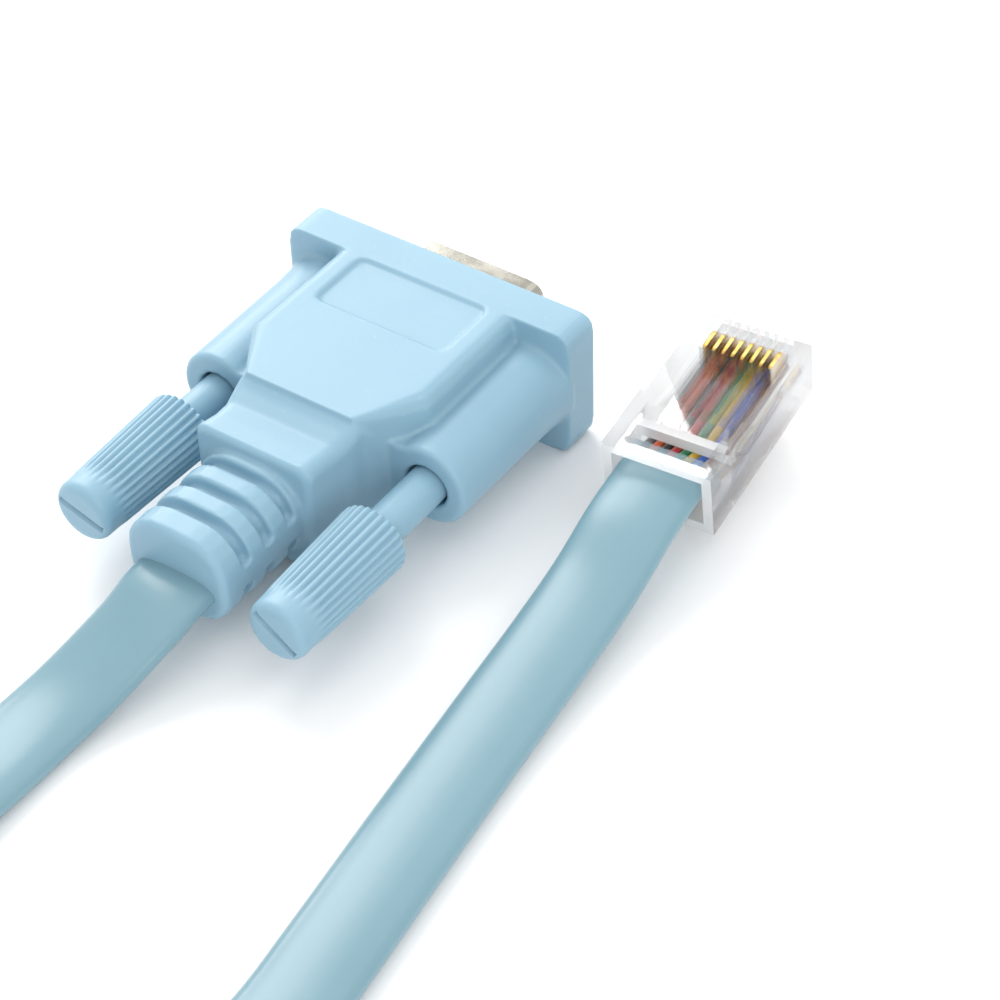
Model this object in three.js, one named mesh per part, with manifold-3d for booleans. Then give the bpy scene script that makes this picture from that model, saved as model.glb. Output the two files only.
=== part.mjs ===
// Console cable: a moulded nine-way D-sub hood with two captive thumbscrews, a flat
// cable wound into a long hank, and a clear eight-way modular plug on the other end.
// Millimetres, +Z up, +X across the hood, +Y the way the D-sub mates.
// Along Y the sizes below are measured from the rear face of the flange, and the
// whole part is moved at the end so that the origin is under the middle of the hood.
import * as THREE from 'three';
import { ConvexGeometry } from 'three/addons/geometries/ConvexGeometry.js';
import { mergeVertices } from 'three/addons/utils/BufferGeometryUtils.js';
import Module from 'manifold-3d';

const wasm = await Module();
wasm.setup();

// Clearances
const gap = 0.3;
const slotGap = 0.17;

// Flange and body of the hood
const flangeWidth = 34;
const hoodHeight = 14.8;
const flangeThick = 4.5;
const flangeCorner = 1.8;
const bodyHalfWidth = 10.6;
const bodyLength = 20.5;
const bodyStraight = 14.2;
const bodyEndHalfWidth = 6.6;
const bodyEdge = 1.2;
const recessWidth = 15.6;
const recessLength = 7.9;
const recessDepth = 0.35;
const recessCorner = 1.2;

// Neck behind the body and the ribbed boot on it
const neckEnd = 28.1;
const neckHalfWidth = 6.8;
const neckHalfHeight = 6.5;
const neckWaist = 5.9;
const neckEdge = 1.3;
const bootWidth = 11.7;
const bootHeight = 10;
const bootLength = 11.8;
const bootCorner = 4.2;
const bootEndEdge = 0.5;
const grooveDepth = 1.2;
const grooveWidth = 1.3;
const ribWidth = 2;
const rootBand = 1;
const spineHalfHeight = 1.2;

// Screw barrels at the sides of the body
const screwSpacing = 24.99;
const barrelLength = 17.9;
const barrelRadius = 4.45;
const barrelFlare = 0.45;
const barrelEdge = 0.4;
const barrelWallHalf = 3.6;
const barrelWallInner = 8.4;
const boreRadius = 2.35;

// D-sub connector in the flange
const plateWidth = screwSpacing + 5.82;
const plateHeight = 12.55;
const plateThick = 0.7;
const plateCorner = 1.6;
const plateHole = 1.9;
const shellWidth = 16.33;
const shellHeight = 7.9;
const shellWall = 0.4;
const shellReach = 4.9;
const shellCorner = 2.4;
const shellSlope = 10;
const insulatorInset = 0.3;
const insulatorDepth = 6.2;
const insulatorLip = 0.6;
const contactPitchX = 2.77;
const rowHalfGap = 1.42;
const socketOuter = 0.75;
const socketBore = 0.5;
const socketMouth = 0.6;
const socketLong = 9.4;
const socketBoreDepth = 5;

// Thumbscrews: a ribbed head with a sleeve, and a steel screw in the sleeve
const headLength = 15.25;
const headFront = 3.75;
const headRear = 3.26;
const headRound = 1.2;
const ribCount = 28;
const ribDepth = 0.3;
const slotLength = 5.3;
const slotWidth = 0.8;
const slotDepth = 0.6;
const sleeveRadius = 2.05;
const sleeveLength = 16;
const screwRadius = 1.42;
const screwHold = 2.6;
const screwReach = 12.2;
const screwTip = 0.5;
// How far the head stands off the rear face of its barrel, as the photograph shows it
const standOff = { left: 5.55, right: 8.1 };
const slotTurn = { left: 18, right: 36 };

// Flat cable
const cableWidth = 9;
const cableThick = 2.8;
const cableExitHeight = 6.4;

// Hank of the length that the photograph doesn't show, in long turns that stand on edge
const coilX = 5;
const coilY = -159.5;
const coilHalfStraight = 39;
const coilInner = 10;
const coilPitch = 3.2;
const coilTurns = 5.25;
const coilSlack = 0.25;
const tieWidth = 6;
const tieThick = 0.4;
const tieGap = 0.2;
const tieSideGap = 0.45;

// Modular plug: where its rear bottom edge is, and how it lies
const plugX = 30.38;
const plugY = -4.7;
const plugZ = 2.3;
const plugYaw = 4;
const plugPitch = 6;
const plugRoll = -1.4;
const plugWidth = 11.68;
const plugLength = 21.46;
const blockLength = 7.95;
const blockHeight = 7.6;
const deckHeight = 6.6;
const blockSlope = 0.9;
const noseEdge = 0.5;
const jacketLevel = 4.5;
const jacketDepth = 4;
const cavityWallTop = 0.9;
const cavityWallBottom = 1.1;
const windowWidth = 8.7;
const windowStart = 1.9;
const windowEnd = 6.6;
const barThick = 1;
const barStart = 4.7;
const barBottom = 5;
const wayCount = 8;
const wayPitch = 1.02;
const wireRadius = 0.36;
const wireLevel = 3.3;
const wireEnd = 20.3;
const slotStart = 16.3;
const noseStep = 20.1;
const noseStepHeight = 5.2;
const bladeThick = 0.3;
const bladeStart = 16.8;
const bladeLength = 2.8;
const bladeTop = 6.25;
const latchThick = 1.1;
const latchRootWidth = 6.2;
const latchTabWidth = 3.3;
const latchRoot = 20.2;
const latchShoulder = 12.4;
const latchTip = 6;
const latchDrop = 6.1;

// Worked out from the sizes above
const middle = hoodHeight / 2;
const shellFront = flangeThick + shellReach;
const bootEnd = neckEnd + bootLength;
const headY = { left: -barrelLength - standOff.left, right: -barrelLength - standOff.right };
const hoodRear = Math.min(headY.left, headY.right) - headLength;
const originY = (shellFront + hoodRear) / 2;
const coilBottom = tieThick + tieGap;
const coilMiddle = coilBottom + cableWidth / 2;
const coilOuter = coilInner + coilPitch * coilTurns;
const coilShift = coilPitch / 4;
const ringInner = coilInner + 3 * coilShift - cableThick / 2 - coilSlack;
const ringOuter = coilOuter + cableThick / 2 + coilSlack;
const floorLevel = cableThick / 2;
const overCoil = coilBottom + cableWidth + gap + cableThick / 2;

const slots = {
  hood: ['#a5cde1', 0.42, 0],
  shell: ['#c9ccd0', 0.3, 1],
  insulator: ['#1b1c1e', 0.5, 0],
  gold: ['#e2b64a', 0.25, 1],
  steel: ['#b9bcc0', 0.35, 1],
  cable: ['#a0c8d4', 0.4, 0],
  tie: ['#20242a', 0.5, 0],
  clear: ['#eef2f4', 0.1, 0],
};
const wireColours = [
  ['grey', '#8b8d90'], ['orange', '#dd6a2c'], ['black', '#25211f'], ['red', '#c93a3a'],
  ['green', '#2f8f5c'], ['yellow', '#d8b83a'], ['blue', '#3d6fc8'], ['brown', '#7a4a33'],
];

const group = new THREE.Group();

function addPiece(name, geometry, [color, roughness, metalness]) {
  const material = new THREE.MeshStandardMaterial({ color, roughness, metalness });
  const mesh = new THREE.Mesh(geometry.translate(0, -originY, 0), material);
  mesh.name = name;
  group.add(mesh);
}

// Solids that are joined and cut

function toSolid(geometry) {
  const plain = geometry.clone();
  plain.deleteAttribute('normal');
  plain.deleteAttribute('uv');
  const welded = mergeVertices(plain, 1e-5);
  const vertProperties = new Float32Array(welded.attributes.position.array);
  const triVerts = new Uint32Array(welded.index.array);
  return new wasm.Manifold(new wasm.Mesh({ numProp: 3, vertProperties, triVerts }));
}

function toGeometry(solid) {
  const mesh = solid.getMesh();
  const geometry = new THREE.BufferGeometry();
  geometry.setAttribute('position', new THREE.Float32BufferAttribute(mesh.vertProperties, 3));
  geometry.setIndex(Array.from(mesh.triVerts));
  return geometry;
}

function box(x0, x1, y0, y1, z0, z1) {
  const geometry = new THREE.BoxGeometry(x1 - x0, y1 - y0, z1 - z0);
  return toSolid(geometry.translate((x0 + x1) / 2, (y0 + y1) / 2, (z0 + z1) / 2));
}

// A shape drawn in X and Z, pushed along Y from y0 to y1
function alongY(shape, y0, y1, curveSegments = 6) {
  const geometry = new THREE.ExtrudeGeometry(shape, { depth: y1 - y0, bevelEnabled: false, curveSegments });
  return geometry.rotateX(Math.PI / 2).translate(0, y1, 0);
}

// A profile of [radius, y] turned about a line along Y
function turned(profile, x, z, segments = 32) {
  const points = profile.map(([radius, y]) => new THREE.Vector2(radius, y));
  return new THREE.LatheGeometry(points, segments).translate(x, 0, z);
}

function rod(radius, y0, y1, x, z, segments = 32) {
  return turned([[0, y0], [radius, y0], [radius, y1], [0, y1]], x, z, segments);
}

// Shapes

function roundedOutline(corners, radius) {
  const shape = new THREE.Shape();
  const count = corners.length;
  corners.forEach(([x, z], i) => {
    const here = new THREE.Vector2(x, z);
    const before = new THREE.Vector2(...corners[(i + count - 1) % count]);
    const after = new THREE.Vector2(...corners[(i + 1) % count]);
    const start = here.clone().add(before.sub(here).setLength(radius));
    const end = here.clone().add(after.sub(here).setLength(radius));
    if (i === 0) {
      shape.moveTo(start.x, start.y);
    } else {
      shape.lineTo(start.x, start.y);
    }
    shape.quadraticCurveTo(here.x, here.y, end.x, end.y);
  });
  shape.closePath();
  return shape;
}

function roundedRectangle(width, height, radius, z = 0) {
  const x = width / 2;
  const h = height / 2;
  return roundedOutline([[-x, z - h], [x, z - h], [x, z + h], [-x, z + h]], radius);
}

// The D of the shell, drawn in by a margin, with its wide side up
function dShape(margin) {
  const top = shellWidth / 2 - margin;
  const half = shellHeight / 2 - margin;
  const bottom = top - 2 * half * Math.tan(THREE.MathUtils.degToRad(shellSlope));
  const radius = Math.max(shellCorner - margin, 0.5);
  const corners = [[-bottom, -half], [bottom, -half], [top, half], [-top, half]];
  return roundedOutline(corners.map(([x, z]) => [x, z + middle]), radius);
}

// Points round a rectangle with round corners, at a height along Y
function sectionRing(halfWidth, halfHeight, radius, y, cornerSteps = 5) {
  const ring = [];
  const centres = [[1, 1], [-1, 1], [-1, -1], [1, -1]];
  centres.forEach(([sx, sz], corner) => {
    for (let k = 0; k <= cornerSteps; k += 1) {
      const angle = (corner + k / cornerSteps) * Math.PI / 2;
      const x = sx * (halfWidth - radius) + radius * Math.cos(angle);
      const z = middle + sz * (halfHeight - radius) + radius * Math.sin(angle);
      ring.push([x, y, z]);
    }
  });
  return ring;
}

// A closed skin through rings of equal count, given from low Y to high Y
function skin(rings) {
  const count = rings[0].length;
  const positions = rings.flat(2);
  const index = [];
  for (let r = 0; r + 1 < rings.length; r += 1) {
    for (let k = 0; k < count; k += 1) {
      const a = r * count + k;
      const b = r * count + (k + 1) % count;
      index.push(a, a + count, b + count, a, b + count, b);
    }
  }
  const centre = (ring) => [0, 1, 2].map((axis) => ring.reduce((sum, p) => sum + p[axis], 0) / count);
  const first = positions.length / 3;
  positions.push(...centre(rings[0]), ...centre(rings.at(-1)));
  const end = (rings.length - 1) * count;
  for (let k = 0; k < count; k += 1) {
    const next = (k + 1) % count;
    index.push(first, k, next);
    index.push(first + 1, end + next, end + k);
  }
  const geometry = new THREE.BufferGeometry();
  geometry.setAttribute('position', new THREE.Float32BufferAttribute(positions, 3));
  geometry.setIndex(index);
  return geometry;
}

// Hood: flange, body, neck, boot and barrels are one moulding

function bodySolid() {
  const points = [];
  const levels = [[bodyEdge, 0], [0.35 * bodyEdge, 0.3 * bodyEdge], [0, bodyEdge]];
  for (const [inset, rise] of levels) {
    for (const z of [rise, hoodHeight - rise]) {
      for (const side of [-1, 1]) {
        points.push(new THREE.Vector3(side * (bodyHalfWidth - inset), flangeThick / 2, z));
        points.push(new THREE.Vector3(side * (bodyHalfWidth - inset), -bodyStraight + inset / 2, z));
        points.push(new THREE.Vector3(side * (bodyEndHalfWidth - inset / 3), -bodyLength, z));
      }
    }
  }
  return toSolid(new ConvexGeometry(points));
}

function neckSolid() {
  const run = neckEnd - bodyLength;
  const waist = neckWaist + 0.1;
  return toSolid(skin([
    sectionRing(neckHalfWidth - 0.5, neckHalfHeight - 0.5, neckEdge, -neckEnd),
    sectionRing(neckHalfWidth, neckHalfHeight - 0.1, neckEdge, -neckEnd + 0.5),
    sectionRing(neckHalfWidth - 0.1, waist, neckEdge, -bodyLength - run * 0.62),
    sectionRing(neckHalfWidth, neckWaist, neckEdge, -bodyLength - run * 0.38),
    sectionRing(neckHalfWidth + 0.35, neckHalfHeight, neckEdge, -bodyLength - run * 0.13),
    sectionRing(bodyEndHalfWidth + 0.6, middle - 0.35, neckEdge, -bodyLength + 0.1),
    sectionRing(bodyEndHalfWidth + 1.1, middle - 1.6, neckEdge, -bodyLength + 1.6),
    sectionRing(barrelWallInner - 0.1, barrelWallHalf, neckEdge, -barrelLength + 0.3),
  ]));
}

function bootSolid() {
  const halfWidth = bootWidth / 2;
  const halfHeight = bootHeight / 2;
  const inner = halfWidth - bootEndEdge;
  let boot = toSolid(skin([
    sectionRing(inner, halfHeight - bootEndEdge, bootCorner - bootEndEdge, -bootEnd),
    sectionRing(halfWidth, halfHeight, bootCorner, -bootEnd + bootEndEdge),
    sectionRing(halfWidth, halfHeight, bootCorner, -neckEnd + gap),
  ]));
  const outline = roundedRectangle(bootWidth + 2, bootHeight + 2, bootCorner, middle);
  const coreCorner = bootCorner - grooveDepth;
  const core = roundedRectangle(bootWidth - 2 * grooveDepth, bootHeight - 2 * grooveDepth, coreCorner, middle);
  const spine = box(-bootWidth, bootWidth, -bootEnd, -neckEnd, middle - spineHalfHeight, middle + spineHalfHeight);
  for (let k = 0; k < 3; k += 1) {
    const front = -neckEnd - rootBand - k * (grooveWidth + ribWidth);
    const ring = toSolid(alongY(outline, front - grooveWidth, front));
    const kept = toSolid(alongY(core, front - grooveWidth - 1, front + 1));
    boot = boot.subtract(ring.subtract(kept).subtract(spine));
  }
  return boot;
}

function barrelSolid(side) {
  const x = side * screwSpacing / 2;
  const profile = [
    [0, -barrelLength], [barrelRadius - barrelEdge, -barrelLength], [barrelRadius, -barrelLength + barrelEdge],
    [barrelRadius + 0.1, -3.5], [barrelRadius + barrelFlare / 2, -1.2], [barrelRadius + barrelFlare, 0.5], [0, 0.5],
  ];
  const near = side * barrelWallInner;
  const wall = box(
    Math.min(near, x), Math.max(near, x), -barrelLength, flangeThick / 2,
    middle - barrelWallHalf, middle + barrelWallHalf,
  );
  return toSolid(turned(profile, x, middle, 40)).add(wall);
}

function hoodGeometry() {
  const flange = alongY(roundedRectangle(flangeWidth, hoodHeight, flangeCorner, middle), 0, flangeThick);
  let hood = toSolid(flange).add(bodySolid()).add(neckSolid()).add(bootSolid());
  for (const side of [-1, 1]) {
    hood = hood.add(barrelSolid(side));
  }
  for (const side of [-1, 1]) {
    const x = side * screwSpacing / 2;
    hood = hood.subtract(toSolid(rod(boreRadius, -barrelLength - 1, flangeThick + 1, x, middle)));
  }
  const plateBack = flangeThick - plateThick - gap;
  const pocket = roundedRectangle(plateWidth + 2 * gap, plateHeight + 2 * gap, plateCorner, middle);
  hood = hood.subtract(toSolid(alongY(pocket, plateBack, flangeThick + 1)));
  hood = hood.subtract(toSolid(alongY(dShape(shellWall), shellFront - insulatorLip - socketLong - 1.5, flangeThick)));
  const recess = roundedRectangle(recessWidth, recessLength, recessCorner);
  const cut = new THREE.ExtrudeGeometry(recess, { depth: 1, bevelEnabled: false, curveSegments: 5 });
  hood = hood.subtract(toSolid(cut.translate(0, -recessLength / 2 - 0.05, hoodHeight - recessDepth)));
  return toGeometry(hood);
}

addPiece('hood', hoodGeometry(), slots.hood);

// D-sub connector

function socketPlaces() {
  const places = [];
  for (let k = 0; k < 5; k += 1) {
    places.push([(2 - k) * contactPitchX, middle + rowHalfGap]);
  }
  for (let k = 0; k < 4; k += 1) {
    places.push([(1.5 - k) * contactPitchX, middle - rowHalfGap]);
  }
  return places;
}

function shellGeometry() {
  const plate = roundedRectangle(plateWidth, plateHeight, plateCorner, middle);
  const plateBack = flangeThick - plateThick;
  let shell = toSolid(alongY(plate, plateBack, flangeThick)).add(toSolid(alongY(dShape(0), plateBack, shellFront)));
  shell = shell.subtract(toSolid(alongY(dShape(shellWall), plateBack - 1, shellFront + 1)));
  for (const side of [-1, 1]) {
    shell = shell.subtract(toSolid(rod(plateHole, plateBack - 1, shellFront, side * screwSpacing / 2, middle)));
  }
  return toGeometry(shell);
}

const insulatorFront = shellFront - gap;
const socketFront = insulatorFront - insulatorLip - gap;

function insulatorGeometry() {
  const margin = shellWall + insulatorInset;
  const back = insulatorFront - insulatorDepth;
  let block = toSolid(alongY(dShape(margin), back, insulatorFront));
  for (const [x, z] of socketPlaces()) {
    block = block.subtract(toSolid(rod(socketMouth, back, insulatorFront + 1, x, z, 16)));
    block = block.subtract(toSolid(rod(socketOuter + gap, back - 1, insulatorFront - insulatorLip, x, z, 16)));
  }
  return toGeometry(block);
}

addPiece('dsub_shell', shellGeometry(), slots.shell);
addPiece('dsub_insulator', insulatorGeometry(), slots.insulator);
socketPlaces().forEach(([x, z], k) => {
  const floor = socketFront - socketBoreDepth;
  const profile = [
    [0, socketFront - socketLong], [socketOuter, socketFront - socketLong], [socketOuter, socketFront],
    [socketBore, socketFront], [socketBore, floor], [0, floor],
  ];
  addPiece(`socket_${k + 1}`, turned(profile, x, z, 16), slots.gold);
});

// Thumbscrews

function ribbedHead(x, y) {
  const stations = [
    [0, headFront - 0.35, 0], [0.35, headFront, ribDepth], [headLength * 0.45, (headFront + headRear) / 2 + 0.06, ribDepth],
    [headLength * 0.75, headRear + 0.1, ribDepth * 0.6], [headLength * 0.88, headRear, 0],
    [headLength - 0.55 * headRound, headRear - 0.2 * headRound, 0], [headLength - 0.15 * headRound, headRear - 0.6 * headRound, 0],
    [headLength, headRear - headRound, 0],
  ];
  const rings = stations.map(([back, radius, depth]) => {
    const ring = [];
    for (let k = 0; k < ribCount * 4; k += 1) {
      const angle = 2 * Math.PI * (k - 0.5) / (ribCount * 4);
      const r = k % 4 < 2 ? radius : radius - depth;
      ring.push([x + r * Math.cos(angle), y - back, middle + r * Math.sin(angle)]);
    }
    return ring;
  });
  return toSolid(skin(rings.reverse()));
}

function thumbscrew(sideName, side) {
  const x = side * screwSpacing / 2;
  const y = headY[sideName];
  const front = y + sleeveLength;
  const slot = new THREE.BoxGeometry(slotLength, 2 * slotDepth, slotWidth);
  slot.rotateY(THREE.MathUtils.degToRad(slotTurn[sideName])).translate(x, y - headLength, middle);
  let head = ribbedHead(x, y).add(toSolid(rod(sleeveRadius, y - 0.5, front, x, middle)));
  head = head.subtract(toSolid(slot));
  head = head.subtract(toSolid(rod(screwRadius + gap, front - screwHold - gap, front + 1, x, middle)));
  addPiece(`thumbscrew_${sideName}`, toGeometry(head), slots.hood);
  const tip = front + screwReach;
  const profile = [
    [0, front - screwHold], [screwRadius, front - screwHold], [screwRadius, tip - screwTip],
    [screwRadius - screwTip, tip], [0, tip],
  ];
  addPiece(`screw_${sideName}`, turned(profile, x, middle, 24), slots.steel);
}

thumbscrew('left', -1);
thumbscrew('right', 1);

// Cable: a flat section kept level, or turned on edge, along its route

class FlatRoute extends THREE.CatmullRomCurve3 {
  constructor(points, turnAt) {
    super(points.map((p) => new THREE.Vector3(...p)));
    this.turnAt = turnAt;
  }

  computeFrenetFrames(segments) {
    const frames = { tangents: [], normals: [], binormals: [] };
    for (let k = 0; k <= segments; k += 1) {
      const tangent = this.getTangentAt(k / segments);
      const across = new THREE.Vector3(0, 0, 1).cross(tangent).normalize();
      across.applyAxisAngle(tangent, this.turnAt(k / segments) * Math.PI / 2);
      frames.tangents.push(tangent);
      frames.normals.push(across);
      frames.binormals.push(tangent.clone().cross(across));
    }
    return frames;
  }
}

function ease(value, start, end) {
  return THREE.MathUtils.smoothstep(value, start, end);
}

function cableSection() {
  const points = [];
  const half = (cableWidth - cableThick) / 2;
  for (const side of [1, -1]) {
    for (let k = 0; k < 6; k += 1) {
      const angle = -Math.PI / 2 + k * Math.PI / 5 + (side < 0 ? Math.PI : 0);
      points.push(new THREE.Vector2(side * half + cableThick / 2 * Math.cos(angle), cableThick / 2 * Math.sin(angle)));
    }
  }
  return new THREE.Shape(points);
}

function cableTube(points, steps, turnAt) {
  const extrudePath = new FlatRoute(points, turnAt);
  return new THREE.ExtrudeGeometry(cableSection(), { steps, extrudePath, bevelEnabled: false });
}

// Out of the boot, down to the floor, over the hank's near end and down into its middle
const fromHood = [
  [0, -bootEnd - gap, cableExitHeight],
  [0, -42, 6.32],
  [-0.2, -44.5, 5.4],
  [-0.9, -48, 3.9],
  [-1.8, -53, 2.2],
  [-2.4, -58, floorLevel],
  [-2.5, -65, floorLevel],
  [-2.4, -72, 2.2],
  [-1.8, -79, 5.6],
  [-1, -85, 9],
  [0, -91, overCoil],
  [1.2, -99, overCoil + 0.6],
  [2.3, -107, overCoil + 0.6],
  [3.3, -116, overCoil + 0.2],
  [4, -125, 9.8],
  [4.2, -134, 7.3],
  [3.8, -143, 5.6],
  [3, -152, coilMiddle + 0.1],
  [2, -160, coilMiddle],
  [0.8, -167, coilMiddle],
];
addPiece('cable_from_hood', cableTube(fromHood, 40, (t) => ease(t, 0.61, 0.87)), slots.cable);

// Off the hank, laid flat again, along the floor and up into the plug
const plugFrame = new THREE.Matrix4().makeTranslation(plugX, plugY, plugZ);
plugFrame.multiply(new THREE.Matrix4().makeRotationZ(THREE.MathUtils.degToRad(plugYaw)));
plugFrame.multiply(new THREE.Matrix4().makeRotationX(THREE.MathUtils.degToRad(plugPitch)));
plugFrame.multiply(new THREE.Matrix4().makeRotationY(THREE.MathUtils.degToRad(plugRoll)));

function inPlug(x, y, z) {
  return new THREE.Vector3(x, y, z).applyMatrix4(plugFrame).toArray();
}

const toPlug = [
  [34.3, -110, coilMiddle],
  [34.8, -103, coilMiddle - 0.05],
  [35.3, -96, coilMiddle - 0.25],
  [35.7, -89, 4.1],
  [35.9, -82, 2.7],
  [35.8, -76, floorLevel + 0.2],
  [35.6, -70, floorLevel],
  [35, -64, floorLevel],
  [34.1, -56, floorLevel],
  [33.2, -48, floorLevel],
  [32.4, -40, 1.5],
  [31.8, -32, 2],
  [31.4, -24, 2.9],
  [31, -17, 4],
  inPlug(0, -5.5, jacketLevel - 0.15),
  inPlug(0, -1, jacketLevel),
  inPlug(0, jacketDepth, jacketLevel),
];
addPiece('cable_to_plug', cableTube(toPlug, 34, (t) => 1 - ease(t, 0.02, 0.31)), slots.cable);

// Hank and its tie. The turns grow by half a pitch round each end, so the two sides differ.

function loopOutline(radius, shift) {
  const outline = new THREE.Shape();
  outline.absarc(shift, coilHalfStraight, radius, 0, Math.PI);
  outline.absarc(shift, -coilHalfStraight, radius, Math.PI, 2 * Math.PI);
  outline.closePath();
  return outline;
}

const loop = loopOutline(ringOuter, coilShift);
loop.holes.push(loopOutline(ringInner, -coilShift));
const hank = new THREE.ExtrudeGeometry(loop, { depth: cableWidth, bevelEnabled: false, curveSegments: 32 });
addPiece('cable_coil', hank.translate(coilX, coilY, coilBottom), slots.cable);

function tieGeometry() {
  const inner = ringInner - coilShift - tieSideGap;
  const outer = ringOuter + coilShift + tieSideGap;
  const top = coilBottom + cableWidth + tieGap;
  const shape = roundedOutline([
    [inner - tieThick, 0], [outer + tieThick, 0], [outer + tieThick, top + tieThick], [inner - tieThick, top + tieThick],
  ], 0.6);
  shape.holes.push(roundedOutline([[inner, tieThick], [outer, tieThick], [outer, top], [inner, top]], 0.3));
  const band = alongY(shape, -tieWidth / 2, tieWidth / 2, 3);
  return band.translate(coilX, coilY, 0);
}

addPiece('coil_tie', tieGeometry(), slots.tie);

// Modular plug, drawn with y from its rear face to its nose and z up from its underside

function sideOutline() {
  const shape = new THREE.Shape();
  shape.moveTo(0, 0);
  shape.lineTo(plugLength, 0);
  shape.lineTo(plugLength, deckHeight - noseEdge);
  shape.lineTo(plugLength - noseEdge, deckHeight);
  shape.lineTo(blockLength + blockSlope, deckHeight);
  shape.lineTo(blockLength, blockHeight);
  shape.lineTo(0, blockHeight);
  shape.closePath();
  return shape;
}

// A shape drawn in y and z, pushed across X about the middle
function acrossX(shape, width) {
  const geometry = new THREE.ExtrudeGeometry(shape, { depth: width, bevelEnabled: false });
  const axes = new THREE.Matrix4().makeBasis(
    new THREE.Vector3(0, 1, 0), new THREE.Vector3(0, 0, 1), new THREE.Vector3(1, 0, 0),
  );
  return geometry.applyMatrix4(axes).translate(-width / 2, 0, 0);
}

function wayX(k) {
  return (k - (wayCount - 1) / 2) * wayPitch;
}

function housingGeometry() {
  let housing = toSolid(acrossX(sideOutline(), plugWidth));
  const cavityHalf = cableWidth / 2 + gap;
  const jacketEnd = barStart + barThick;
  housing = housing.subtract(box(-cavityHalf, cavityHalf, -1, jacketEnd, cavityWallBottom, blockHeight - cavityWallTop));
  const wiresHalf = wayX(wayCount - 1) + wireRadius + gap;
  const wiresBottom = wireLevel - wireRadius - gap;
  const wiresTop = wireLevel + wireRadius + gap;
  housing = housing.subtract(box(-wiresHalf, wiresHalf, jacketEnd - 0.5, wireEnd + gap, wiresBottom, wiresTop));
  const half = windowWidth / 2;
  housing = housing.subtract(box(-half, half, windowStart, windowEnd, barBottom, blockHeight + 1));
  housing = housing.add(box(-half - 0.8, half + 0.8, barStart, barStart + barThick, barBottom, barBottom + 1.3));
  const slotHalf = bladeThick / 2 + slotGap;
  for (let k = 0; k < wayCount; k += 1) {
    const x = wayX(k);
    housing = housing.subtract(box(x - slotHalf, x + slotHalf, slotStart, noseStep, wiresTop - 0.2, deckHeight + 1));
    housing = housing.subtract(box(x - slotHalf, x + slotHalf, noseStep - 0.1, plugLength + 1, noseStepHeight, deckHeight + 1));
  }
  return toGeometry(housing).applyMatrix4(plugFrame);
}

function latchGeometry() {
  const root = latchRootWidth / 2;
  const tab = latchTabWidth / 2;
  const outline = new THREE.Shape([
    [-root, 0], [root, 0], [root, latchShoulder - latchRoot], [tab, latchShoulder - latchRoot - 1.2],
    [tab, latchTip - latchRoot], [-tab, latchTip - latchRoot], [-tab, latchShoulder - latchRoot - 1.2],
    [-root, latchShoulder - latchRoot],
  ].map(([x, y]) => new THREE.Vector2(x, y)));
  const arm = new THREE.ExtrudeGeometry(outline, { depth: latchThick, bevelEnabled: false });
  arm.translate(0, 0, -latchThick).rotateX(THREE.MathUtils.degToRad(latchDrop)).translate(0, latchRoot, -gap);
  return arm.applyMatrix4(plugFrame);
}

addPiece('rj45_housing', housingGeometry(), slots.clear);
addPiece('rj45_latch', latchGeometry(), slots.clear);
for (let k = 0; k < wayCount; k += 1) {
  const x = wayX(k);
  const bladeBottom = wireLevel + wireRadius + slotGap;
  const blade = new THREE.BoxGeometry(bladeThick, bladeLength, bladeTop - bladeBottom);
  blade.translate(x, bladeStart + bladeLength / 2, (bladeTop + bladeBottom) / 2);
  addPiece(`contact_${k + 1}`, blade.applyMatrix4(plugFrame), slots.gold);
}
wireColours.forEach(([, colour], k) => {
  const wire = rod(wireRadius, jacketDepth + gap, wireEnd, wayX(k), wireLevel, 10);
  addPiece(`wire_${k + 1}`, wire.applyMatrix4(plugFrame), [colour, 0.45, 0]);
});

export default group;
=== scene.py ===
# %% [markdown]
# A console cable joins a computer's nine-way port to a switch or router. It is one flat cable
# with a moulded hood on one end and a clear modular plug on the other. This lesson dresses the
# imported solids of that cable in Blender: the solids give every place and size, and each cell
# makes one piece or one finish. All sizes are in metres, and the hood stands on z = 0.

# %% Load the frame
import math

import bmesh
import bpy
import numpy as np
from mathutils import Matrix, Vector


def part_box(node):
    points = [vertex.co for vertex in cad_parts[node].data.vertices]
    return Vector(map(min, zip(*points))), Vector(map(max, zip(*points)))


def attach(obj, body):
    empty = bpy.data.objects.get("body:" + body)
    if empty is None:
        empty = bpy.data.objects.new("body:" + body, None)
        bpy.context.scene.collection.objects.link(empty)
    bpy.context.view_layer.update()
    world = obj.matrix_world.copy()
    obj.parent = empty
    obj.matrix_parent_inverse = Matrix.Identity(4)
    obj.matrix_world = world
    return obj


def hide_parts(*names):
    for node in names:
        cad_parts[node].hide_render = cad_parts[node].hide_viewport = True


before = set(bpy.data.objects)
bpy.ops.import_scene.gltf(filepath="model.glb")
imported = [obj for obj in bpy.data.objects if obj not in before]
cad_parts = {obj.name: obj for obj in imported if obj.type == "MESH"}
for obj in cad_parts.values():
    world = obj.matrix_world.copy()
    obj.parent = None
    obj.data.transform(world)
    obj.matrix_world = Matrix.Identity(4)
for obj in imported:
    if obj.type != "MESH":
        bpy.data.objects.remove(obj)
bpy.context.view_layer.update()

MM = 0.001

# %% [markdown]
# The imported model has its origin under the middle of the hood. The sizes that were measured on
# the photograph count from the rear face of the flange instead. One number turns the first into
# the second, and the flange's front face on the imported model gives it.

# %% The rear face of the flange
FLANGE_THICK = 4.5 * MM
_, shell_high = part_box("dsub_shell")
_, hood_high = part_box("hood")
SHELL_REACH = 4.9 * MM
flange_rear = shell_high.y - SHELL_REACH - FLANGE_THICK
hood_middle = hood_high.z / 2


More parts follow.
